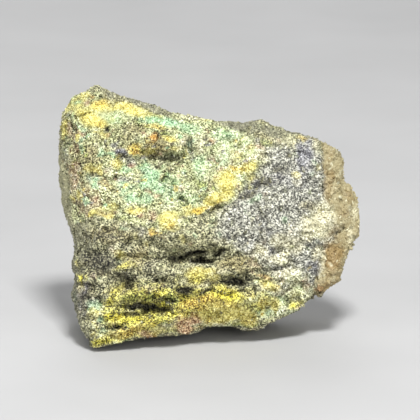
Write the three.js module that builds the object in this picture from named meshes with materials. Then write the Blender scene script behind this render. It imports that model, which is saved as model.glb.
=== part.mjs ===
// A hand specimen of pottsite: one broken piece of altered rock, about 46 mm wide, whose tilted upper
// face carries a green and yellow crust over grey rock, with ledges and open clefts below it and a rim
// of tan quartz at one side. It rests on its broken underside with its main face leaning back.
//
// The stone is worked out in its own face frame, in millimetres: across runs to the right along the
// face, up runs up the face and out points away from it. At the end the face is leaned back by
// FACE_LEAN and the stone is set down, with +Z up and its main face towards -Y.
import * as THREE from "three";
import { ImprovedNoise } from "three/addons/math/ImprovedNoise.js";
import { mergeVertices } from "three/addons/utils/BufferGeometryUtils.js";

const DEGREE = Math.PI / 180;

// Driving dimensions, in millimetres and degrees.
const FACE_LEAN = 14; // the face looks this far above the horizon
const BACK_DEPTH = 15.5; // the back lies this far behind the middle of the face frame
const EDGE_ROUNDING = 1.1; // width over which two broken faces run into each other
const RIM_PLACE = { out: 0.2, perUp: -0.25, perAcross: -0.2 }; // the rim lies further back towards its ends
const RIM_ALLOWANCE = 0.35; // what rounding takes off the rim
const RIM_HOLD = 0.85; // share of the roughness that is kept from moving the rim
const RIM_BAND = [0.8, 0.96]; // the hold grows between these shares of the way out to the rim
const SIDE_TAPER = 0.3; // how far the sides draw in for each millimetre behind the rim
const TAPER_FADE = [-12, 0]; // the taper grows between these heights up the face
const TAPER_UNEVENNESS = { share: 0.9, width: 8.5, seed: 29.4 };
const REST_CORNER = { up: -20.2, out: 6.9 }; // the front corner of the underside that the stone stands on
const REST_FLATTENING = 0.55; // roughness lower than this on the underside is worn flat
const REST_FACING = 0.7; // what faces down more than this belongs to the underside
const MIDDLE = new THREE.Vector3(0, -1, -3); // every point of the surface is seen from here
const MESH_STEPS = 21; // divisions of each edge of the icosahedron that the surface starts from
const FRONT_SHARE = 0.55; // how strongly the mesh gathers on the main face
const RELAXING_ROUNDS = 9; // rounds that even out the mesh
const SEARCH = { reach: 45, halvings: 20 }; // how the surface is found along a ray from the middle

// The rim as it is seen square on to the face, as [across, up], clockwise from the top left peak.
const OUTLINE = [
  [-16.2, 19.8], [-13.6, 18.3], [-11.3, 17.7], [-8.5, 17.0], [-5.4, 15.6], [-2.3, 15.0],
  [1.0, 14.3], [4.0, 14.2], [7.9, 14.4], [9.8, 13.6], [14.5, 12.2], [16.7, 11.7],
  [19.7, 10.1], [20.2, 8.8], [20.2, 5.5], [21.4, 4.7], [22.1, 3.3], [22.6, 1.0],
  [22.9, -0.9], [22.4, -2.7], [21.4, -4.4], [19.9, -8.0], [19.7, -9.8], [18.2, -10.7],
  [16.7, -11.9], [15.8, -11.9], [13.4, -14.0], [8.9, -16.2], [7.4, -17.0], [5.1, -17.1],
  [3.2, -16.4], [-0.5, -16.6], [-1.4, -17.5], [-10.3, -18.5], [-16.3, -19.8], [-17.8, -19.4],
  [-18.5, -17.7], [-19.9, -14.5], [-20.8, -11.3], [-19.9, -9.0], [-20.5, -7.0], [-19.9, -5.5],
  [-21.4, -0.1], [-22.4, 5.0], [-22.9, 6.9], [-22.2, 8.6], [-22.1, 14.2], [-21.5, 15.9],
  [-20.5, 17.8], [-18.5, 18.6],
];

// Broken faces. Each passes through the point at and faces along facing, as [across, up, out].
const BROKEN_FACES = [
  { name: "upper crusted face", at: [-3, 0, 7.4], facing: [0.04, 0.42, 1] },
  { name: "upper right bevel", at: [8, 10, 3.2], facing: [0.25, 0.75, 1] },
  { name: "right grey face", at: [4, -3, 7.9], facing: [0.36, 0.08, 1] },
  { name: "lower left face", at: [-9, -10, 9.2], facing: [-0.03, 0.02, 1] },
  { name: "lower right face", at: [2, -9, 8.7], facing: [0.24, -0.42, 1] },
  { name: "left front bevel", at: [-21.4, 6, 0.8], facing: [-1, 0.1, 0.25] },
  { name: "lower left bevel", at: [-18.5, -10, 8], facing: [-0.75, 0, 1] },
  { name: "left shoulder", at: [-20.6, 13, -1], facing: [-1, 0.15, 0.6] },
  { name: "right rim face", at: [18, 0, 2.0], facing: [0.62, 0.12, 1] },
  { name: "back", at: [0, 0, -BACK_DEPTH], facing: [0.12, 0.2, -1] },
  { name: "upper back", at: [-6, 16, -9.5], facing: [-0.1, 1, -0.8] },
  { name: "left back", at: [-22, 0, -9.5], facing: [-1, 0.15, -0.8] },
  { name: "right back", at: [18, 0, -8], facing: [1, -0.1, -0.9] },
  { name: "lower back", at: [0, -10, -14.2], facing: [-0.1, -0.6, -1] },
  { name: "upper right back", at: [16, 13, -6.5], facing: [0.5, 1, -0.8] },
  { name: "lower right back", at: [15, -10, -7], facing: [1, -0.8, -0.6] },
  { name: "chip off the upper left back", at: [-18.5, 14, -9.5], facing: [-0.8, 0.6, -1] },
  { name: "chip off the middle back", at: [4, 3, -15], facing: [0.45, 0.4, -1] },
];

// Forms on the face, each an ellipse around at ([across, up]) with half sizes along and athwart its
// run, turned by turn degrees from the horizontal. A positive height stands out, a negative one is cut in.
const FORMS = [
  { name: "long cleft", at: [-1.6, -5.9], half: [4.6, 1.3], turn: 9, height: -2.2 },
  { name: "cleft end", at: [-6.2, -5.0], half: [3.2, 0.9], turn: -24, height: -0.9 },
  { name: "low cleft", at: [-9.4, -13.4], half: [3.7, 1.3], turn: 6, height: -2.2 },
  { name: "right cleft", at: [3.6, -9.8], half: [2.6, 1.0], turn: 5, height: -1.8 },
  { name: "slanting cleft", at: [-4.8, -10.7], half: [2.4, 0.9], turn: -32, height: -1.2 },
  { name: "foot cleft", at: [-14.0, -16.2], half: [2.0, 0.8], turn: 10, height: -1.0 },
  { name: "left pit", at: [-16.6, -6.5], half: [2.2, 1.6], turn: 0, height: -1.3 },
  { name: "pit under the pale ledge", at: [-12.9, -9.8], half: [2.2, 1.0], turn: -8, height: -1.3 },
  { name: "pale ledge", at: [-12.1, -7.3], half: [2.4, 1.2], turn: 6, height: 1.1 },
  { name: "yellow knob", at: [-1.3, -8.9], half: [2.6, 1.6], turn: 0, height: 1.3 },
  { name: "lower swell", at: [3.0, -12.6], half: [9.0, 2.2], turn: 2, height: 1.2 },
  { name: "foot swell", at: [-10.5, -16.2], half: [6.0, 1.5], turn: 4, height: 1.0 },
  { name: "brow", at: [-9.0, -2.8], half: [9.5, 1.9], turn: 6, height: 0.8 },
  { name: "middle swell", at: [-9.0, -10.8], half: [6.0, 1.4], turn: 14, height: 0.8 },
  { name: "hollow under the block", at: [-7.0, 8.6], half: [4.6, 1.1], turn: 0, height: -1.2 },
  { name: "block in the crust", at: [-7.6, 11.4], half: [4.6, 1.9], turn: -3, height: 0.8 },
  { name: "notch beside the block", at: [-2.4, 10.6], half: [0.9, 2.0], turn: 5, height: -1.0 },
  { name: "left hollow of the crust", at: [-14.6, 10.4], half: [1.9, 1.7], turn: -30, height: -0.8 },
  { name: "dish in the crust", at: [-8.0, 5.0], half: [7.0, 2.4], turn: -18, height: -0.7 },
  { name: "pit in the crust", at: [0.3, 9.2], half: [1.2, 1.0], turn: 0, height: -0.6 },
  { name: "peak ridge", at: [-17.0, 16.2], half: [4.2, 1.4], turn: 12, height: 0.8 },
  { name: "back ridge of the top", at: [-9.0, 16.4], half: [4.5, 1.0], turn: -22, height: 0.6 },
  { name: "dark band under the crust", at: [4.3, 3.6], half: [6.6, 1.2], turn: 37, height: -0.8 },
  { name: "right pale swell", at: [14.6, -2.2], half: [3.6, 3.0], turn: 60, height: 0.7 },
  { name: "rim seam", at: [17.3, 8.0], half: [1.0, 4.6], turn: -2, height: -0.8 },
  { name: "rim cleft", at: [19.2, -2.4], half: [2.6, 0.9], turn: 32, height: -0.8 },
  { name: "lower rim seam", at: [16.8, -8.4], half: [0.9, 3.6], turn: -14, height: -0.8 },
  { name: "lower rim knob", at: [19.0, -7.4], half: [1.6, 3.2], turn: -16, height: 0.5 },
  { name: "foot pit at the right", at: [16.3, -11.6], half: [1.3, 1.0], turn: 0, height: -0.9 },
];

const FORM_SOFTNESS = { along: 4, athwart: 2 }; // higher powers give steeper ends and flanks
const FORM_FADE = [0.05, 0.45]; // forms grow as a surface turns to the front between these

// Chips knocked off the edges of the back and the sides, spread around it in a spiral.
const CHIPS = { count: 12, least: 0.8, most: 3.6, turn: 137.5, seed: 12, rimRoom: 0.25, rimShare: 0.985 };

// Broad unevenness of every broken face: how far it reaches and how wide one swell is.
const SWELLS = [
  { reach: 0.85, width: 9.5, seed: 3.1 },
  { reach: 0.6, width: 4.6, seed: 17.7 },
  { reach: 0.38, width: 2.3, seed: 41.3 },
];
// Sharp crests between shallow hollows, only where a surface faces away from the front.
const HOLLOWS = { depth: 2.6, width: 7.5, facing: [-0.25, 0.35], seed: 84.2 };
// Terraces that a blow leaves on a broken face, worked from one slow swell cut into steps.
const TERRACES = { steps: 3.2, width: 11, rise: 0.6, edge: [0.35, 0.65], seed: 63.9 };

const noise = new ImprovedNoise();
const swellAt = (p, width, seed) => noise.noise(p.x / width + seed, p.y / width - seed, p.z / width + seed / 2);

// The larger of two values, with the corner between them rounded over EDGE_ROUNDING.
function roundedMax(a, b) {
  const near = Math.max(EDGE_ROUNDING - Math.abs(a - b), 0) / EDGE_ROUNDING;
  return Math.max(a, b) + near * near * EDGE_ROUNDING / 4;
}

// Distance from the middle to the outline in the direction of a point seen square on to the face.
function outlineReach(across, up) {
  for (let i = 0; i < OUTLINE.length; i++) {
    const [ax, ay] = OUTLINE[i];
    const [bx, by] = OUTLINE[(i + 1) % OUTLINE.length];
    const a = ax * up - ay * across;
    const b = bx * up - by * across;
    const ahead = ax * across + ay * up + bx * across + by * up > 0;
    if (ahead && a <= 0 && b >= 0 && a !== b) {
      const share = a / (a - b);
      return Math.hypot(ax + (bx - ax) * share, ay + (by - ay) * share);
    }
  }
  return Math.hypot(across, up);
}

const broken = BROKEN_FACES.map(({ at, facing }) => {
  const normal = new THREE.Vector3(...facing).normalize();
  return new THREE.Plane().setFromNormalAndCoplanarPoint(normal, new THREE.Vector3(...at));
});

// The underside is level once the face leans back, and passes through the corner the stone stands on.
const lean = FACE_LEAN * DEGREE;
const restNormal = new THREE.Vector3(0, -Math.cos(lean), -Math.sin(lean));
const underside = new THREE.Plane().setFromNormalAndCoplanarPoint(
  restNormal,
  new THREE.Vector3(0, REST_CORNER.up, REST_CORNER.out),
);

// How far a point lies outside the plain stone, before its forms and roughness: negative is inside.
function outside(p) {
  const rimOut = RIM_PLACE.out + RIM_PLACE.perUp * p.y + RIM_PLACE.perAcross * Math.abs(p.x);
  const uneven = 1 + TAPER_UNEVENNESS.share * swellAt(p, TAPER_UNEVENNESS.width, TAPER_UNEVENNESS.seed);
  const taper = SIDE_TAPER * uneven * THREE.MathUtils.smoothstep(p.y, ...TAPER_FADE);
  const reach = outlineReach(p.x, p.y) + RIM_ALLOWANCE - taper * Math.max(0, rimOut - p.z);
  let value = Math.hypot(p.x, p.y) - reach;
  for (const face of broken) value = roundedMax(value, face.distanceToPoint(p));
  return Math.max(value, underside.distanceToPoint(p));
}

// The point where the plain stone's surface crosses a ray from its middle.
function surfacePoint(direction) {
  let near = 0;
  let far = SEARCH.reach;
  const p = new THREE.Vector3();
  for (let i = 0; i < SEARCH.halvings; i++) {
    const half = (near + far) / 2;
    p.copy(direction).multiplyScalar(half).add(MIDDLE);
    if (outside(p) < 0) near = half;
    else far = half;
  }
  return p.copy(direction).multiplyScalar(near).add(MIDDLE);
}

// Planes that knock chips off the back of the stone that these points lie on, clear of its rim.
function chipPlanes(points) {
  const rim = points.filter((p) => Math.hypot(p.x, p.y) > CHIPS.rimShare * outlineReach(p.x, p.y));
  const reachOf = (some, direction) => Math.max(...some.map((p) => p.dot(direction)));
  THREE.MathUtils.seededRandom(CHIPS.seed);
  return Array.from({ length: CHIPS.count }, (_, i) => {
    const back = (i + 0.5) / CHIPS.count;
    const around = i * CHIPS.turn * DEGREE;
    const sideways = Math.sqrt(1 - back * back);
    const direction = new THREE.Vector3(sideways * Math.cos(around), sideways * Math.sin(around), -back);
    const depth = THREE.MathUtils.lerp(CHIPS.least, CHIPS.most, THREE.MathUtils.seededRandom());
    const place = Math.max(reachOf(points, direction) - depth, reachOf(rim, direction) + CHIPS.rimRoom);
    return new THREE.Plane(direction, -place);
  });
}

// How far the forms stand out of the face at a point, fading away on the sides and the back.
function formHeight(p, normal) {
  const shown = THREE.MathUtils.smoothstep(normal.z, ...FORM_FADE);
  let height = 0;
  for (const form of FORMS) {
    const c = Math.cos(form.turn * DEGREE);
    const s = Math.sin(form.turn * DEGREE);
    const dx = p.x - form.at[0];
    const dy = p.y - form.at[1];
    const along = Math.abs(dx * c + dy * s) / form.half[0];
    const athwart = Math.abs(dy * c - dx * s) / form.half[1];
    height += form.height * Math.exp(-(along ** FORM_SOFTNESS.along) - athwart ** FORM_SOFTNESS.athwart);
  }
  return height * shown;
}

// Height of the broad unevenness, the hollows and the terraces at a point.
function brokenHeight(p, normal) {
  const away = 1 - THREE.MathUtils.smoothstep(normal.z, ...HOLLOWS.facing);
  let height = -away * HOLLOWS.depth * Math.abs(swellAt(p, HOLLOWS.width, HOLLOWS.seed));
  if (normal.dot(restNormal) > REST_FACING) height = -REST_FLATTENING;
  for (const { reach, width, seed } of SWELLS) height += reach * swellAt(p, width, seed);
  const slow = swellAt(p, TERRACES.width, TERRACES.seed) * TERRACES.steps;
  const step = Math.floor(slow) + THREE.MathUtils.smoothstep(slow - Math.floor(slow), ...TERRACES.edge);
  return height + (step - slow) * TERRACES.rise;
}

// For each vertex, the vertices that share an edge with it.
function neighboursOf(geometry) {
  const around = Array.from({ length: geometry.attributes.position.count }, () => new Set());
  const index = geometry.index.array;
  for (let i = 0; i < index.length; i += 3) {
    for (let k = 0; k < 3; k++) {
      around[index[i + k]].add(index[i + ((k + 1) % 3)]);
      around[index[i + k]].add(index[i + ((k + 2) % 3)]);
    }
  }
  return around.map((set) => [...set]);
}

// A closed mesh of the plain stone whose vertices are spread evenly over it, closer on the face.
function plainStone() {
  const ball = new THREE.IcosahedronGeometry(1, MESH_STEPS);
  ball.deleteAttribute("normal");
  ball.deleteAttribute("uv");
  const geometry = mergeVertices(ball, 1e-5);
  const around = neighboursOf(geometry);
  const place = geometry.attributes.position;
  let points = Array.from({ length: place.count }, (_, i) => {
    const direction = new THREE.Vector3().fromBufferAttribute(place, i);
    direction.z += FRONT_SHARE;
    return surfacePoint(direction.normalize());
  });
  broken.push(...chipPlanes(points));
  for (let round = 0; round < RELAXING_ROUNDS; round++) {
    points = points.map((_, i) => {
      const mean = new THREE.Vector3();
      for (const n of around[i]) mean.add(points[n]);
      mean.divideScalar(around[i].length).sub(MIDDLE);
      return surfacePoint(mean.normalize());
    });
  }
  points.forEach((p, i) => place.setXYZ(i, p.x, p.y, p.z));
  return geometry;
}

// The plain stone with its forms and roughness, leaned back and set down on its worn underside.
function stoneGeometry() {
  const geometry = plainStone();
  geometry.computeVertexNormals();
  const place = geometry.attributes.position;
  const facing = geometry.attributes.normal;
  const p = new THREE.Vector3();
  const normal = new THREE.Vector3();
  for (let i = 0; i < place.count; i++) {
    p.fromBufferAttribute(place, i);
    normal.fromBufferAttribute(facing, i);
    const form = formHeight(p, normal);
    const rough = brokenHeight(p, normal);
    const share = Math.hypot(p.x, p.y) / outlineReach(p.x, p.y);
    const sideways = 1 - RIM_HOLD * THREE.MathUtils.smoothstep(share, ...RIM_BAND);
    p.x += normal.x * rough * sideways;
    p.y += normal.y * rough * sideways;
    p.z += normal.z * rough + form;
    const below = underside.distanceToPoint(p) + REST_FLATTENING;
    if (below > 0) p.addScaledVector(restNormal, -below);
    place.setXYZ(i, p.x, p.y, p.z);
  }
  geometry.deleteAttribute("normal");
  geometry.rotateX(Math.PI / 2 - lean);
  geometry.computeBoundingBox();
  const { min, max } = geometry.boundingBox;
  geometry.translate(-(min.x + max.x) / 2, -(min.y + max.y) / 2, -min.z);
  geometry.computeVertexNormals();
  return geometry;
}

const rock = new THREE.MeshStandardMaterial({ color: 0x9a9a62, roughness: 0.85, metalness: 0 });
const specimen = new THREE.Mesh(stoneGeometry(), rock);
specimen.name = "pottsite_specimen";

const stone = new THREE.Group();
stone.name = "pottsite";
stone.add(specimen);

export default stone;
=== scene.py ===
# A rough hand specimen of pottsite: grey rock with a drusy green and yellow crust, ledges and open
# clefts below it and a rim of tan quartz at its right side.
#
# The stone of the frame is copied, meshed finely and given its small ledges, clefts, pits and grain.
# Thousands of small crystals are then set on it. Colours are laid out as named spots, in millimetres
# on the main face: across runs to the right, up runs up the leaning face and out points away from it.
import math

import bpy
import numpy as np
from mathutils import Matrix, Vector, kdtree, noise


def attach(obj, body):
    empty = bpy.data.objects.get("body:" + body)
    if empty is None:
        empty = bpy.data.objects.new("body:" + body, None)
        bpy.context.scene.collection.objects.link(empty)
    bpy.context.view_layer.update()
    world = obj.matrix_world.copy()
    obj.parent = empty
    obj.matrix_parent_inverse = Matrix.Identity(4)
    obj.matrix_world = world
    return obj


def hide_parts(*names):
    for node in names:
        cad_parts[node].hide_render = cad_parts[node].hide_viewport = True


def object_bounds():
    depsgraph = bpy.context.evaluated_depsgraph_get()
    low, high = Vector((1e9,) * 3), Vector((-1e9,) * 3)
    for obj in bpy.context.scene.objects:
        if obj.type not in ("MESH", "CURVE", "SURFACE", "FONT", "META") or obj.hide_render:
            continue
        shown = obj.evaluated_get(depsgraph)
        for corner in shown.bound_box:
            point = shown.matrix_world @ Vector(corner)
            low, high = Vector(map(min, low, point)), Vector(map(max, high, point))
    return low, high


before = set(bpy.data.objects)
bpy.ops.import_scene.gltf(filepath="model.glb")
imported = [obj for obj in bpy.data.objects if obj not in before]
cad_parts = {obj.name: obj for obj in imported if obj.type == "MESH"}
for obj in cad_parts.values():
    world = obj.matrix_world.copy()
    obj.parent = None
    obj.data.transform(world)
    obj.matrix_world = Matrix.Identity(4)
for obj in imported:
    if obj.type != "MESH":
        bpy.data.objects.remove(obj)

cad_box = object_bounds()

MM = 0.001
NODE = "pottsite_specimen"

# The main face leans back by this angle, so these are its axes in the frame of the whole scene.
FACE_LEAN = math.radians(14)
FACE_AXES = np.array([
    [1.0, 0.0, 0.0],
    [0.0, math.sin(FACE_LEAN), math.cos(FACE_LEAN)],
    [0.0, -math.cos(FACE_LEAN), math.sin(FACE_LEAN)],
])
FRONT_OUT = 9.9  # how far the most forward point of the stone lies out from the face frame, in mm

VOXEL = 0.26  # width of the faces of the fine mesh, in mm
SOFTENING = 4  # passes that round its corners
BEARINGS = 240  # directions around the middle of the face in which its outline is eased
GRAIN_LOSS = 0.07  # how much the grain takes off the outline, in mm

# The camera looks square on to the main face from this far away, in millimetres; its view is this wide
# at the stone, and its middle lies this far across, up and out from the middle of the face. Outlines
# and spots are laid out as they are seen in a view of LAYOUT_WIDTH.
CAMERA_DISTANCE = 550.0
VIEW_WIDTH = 62.3
LAYOUT_WIDTH = 63.0
VIEW_MIDDLE = np.array([0.24, 1.03, 5.0])
SENSOR_WIDTH = 36

# The stone's outline as [across, up], which the rim of the fine mesh is eased to.
STONE_OUTLINE = [
    (-16.4, 20.0), (-13.6, 18.4), (-11.3, 17.8), (-8.5, 17.0), (-5.4, 15.7), (-2.3, 15.0), (1.0, 14.4),
    (4.0, 14.3), (7.9, 14.5), (9.8, 13.7), (14.5, 12.3), (16.7, 11.7), (19.6, 10.2), (20.3, 8.6), (20.2, 5.6),
    (21.4, 4.7), (22.2, 3.3), (22.7, 1.0), (23.0, -0.8), (22.5, -2.9), (21.5, -4.5), (20.0, -8.0),
    (19.7, -9.8), (18.2, -10.7), (16.9, -11.9), (15.8, -11.9), (13.4, -14.0), (8.9, -16.2), (7.4, -17.0),
    (5.1, -17.1), (3.2, -16.4), (-0.5, -16.5), (-1.4, -17.4), (-10.3, -18.4), (-16.1, -19.8), (-17.8, -19.4),
    (-18.5, -17.7), (-19.9, -14.5), (-20.8, -11.3), (-20.0, -9.0), (-20.6, -6.8), (-20.0, -4.2),
    (-21.5, 0.3), (-22.2, 4.2), (-23.0, 6.9), (-22.5, 9.0), (-22.5, 13.4), (-22.1, 15.4), (-20.6, 17.7),
    (-18.6, 18.7),
]

# Colour regions, as outlines of [across, up] on the main face.
CRUST_OUTLINE = [
    (-21.9, 17.5), (-19.5, 19.2), (-16.4, 19.0), (-14.2, 17.4), (-12.5, 16.7), (-9.5, 16.2), (-6.5, 15.3),
    (-4.0, 16.5), (-1.0, 15.6), (1.5, 14.6), (3.4, 13.6), (5.2, 12.4), (8.5, 9.7), (8.6, 8.2), (7.2, 6.8),
    (4.9, 4.0), (2.0, 1.8), (-0.4, 0.7), (-1.9, 0.0), (-4.6, -1.1), (-7.4, -2.9), (-9.0, -1.7), (-12.3, -0.9),
    (-17.1, -0.2), (-20.2, -1.2), (-20.7, 3.0), (-21.3, 8.0), (-22.2, 12.0),
]
TAN_OUTLINE = [
    (16.8, 13.5), (17.0, 10.5), (17.5, 7.0), (17.6, 3.3), (18.2, 0.3), (19.3, -2.0), (18.7, -3.5),
    (17.6, -5.0), (16.7, -6.5), (16.3, -8.7), (15.8, -10.2), (15.4, -13.0), (26, -13), (26, 14),
]
GREY_OUTLINE = [
    (6.0, 10.6), (8.8, 8.2), (5.7, 4.5), (2.0, 1.7), (1.0, -3.0), (5.0, -5.0), (9.5, -8.5), (14.0, -10.5),
    (18.0, -12.0), (26, -10), (26, 8), (17.0, 10.0), (12.5, 10.6),
]

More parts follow.
